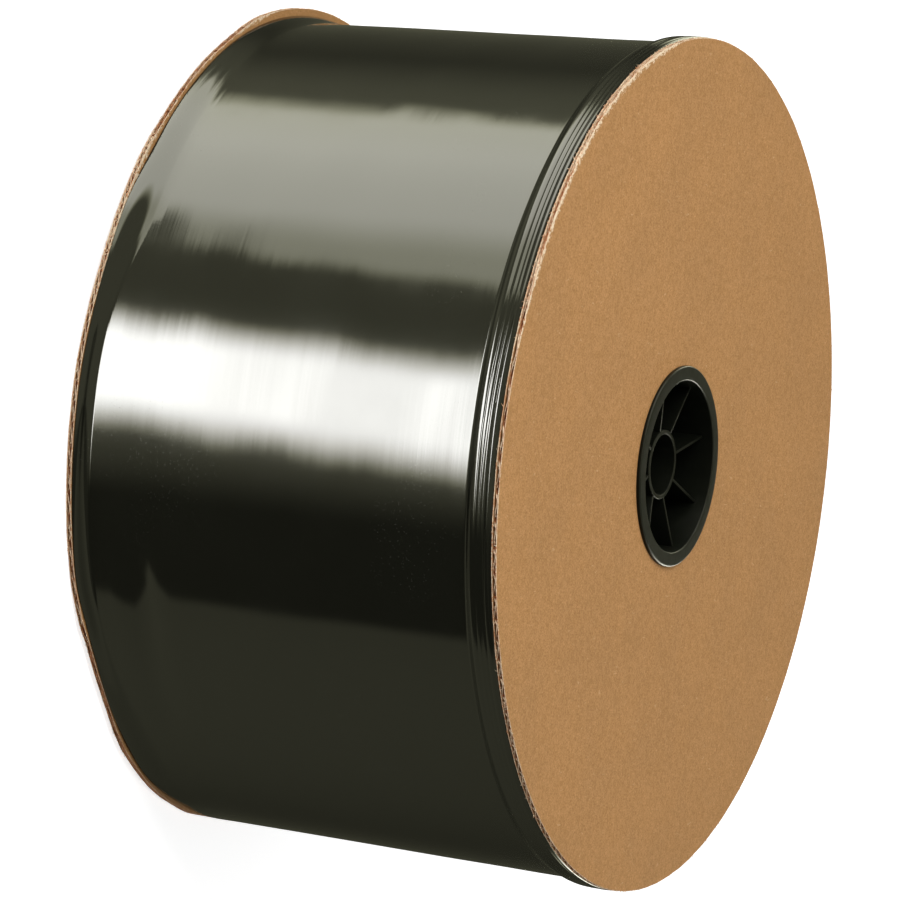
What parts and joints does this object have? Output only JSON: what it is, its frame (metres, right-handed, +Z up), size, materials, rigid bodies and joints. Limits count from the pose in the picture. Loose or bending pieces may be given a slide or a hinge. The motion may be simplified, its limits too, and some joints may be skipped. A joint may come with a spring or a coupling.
{
  "type": "roll of poly tubing",
  "caption": "Roll of black lay-flat poly tubing wound on a board core, with corrugated end discs held by moulded core plugs.",
  "frame": {"origin": "middle of the lower plug's lip, on the surface the roll stands on", "axes": "+Z up along the core, from the end the roll stands on to the other; -Y is the side nearest the camera in the picture"},
  "size_m": [0.357, 0.3568, 0.1922],
  "materials": {
    "film": "glossy film",
    "core_board": "matte",
    "disc_board": "matte kraft",
    "plug_plastic": "satin"
  },
  "bodies": {
    "root": {"tubing_roll": "film", "core_tube": "core_board", "lower_disc": "disc_board", "upper_disc": "disc_board", "lower_plug": "plug_plastic", "upper_plug": "plug_plastic"}
  },
  "joints": []
}
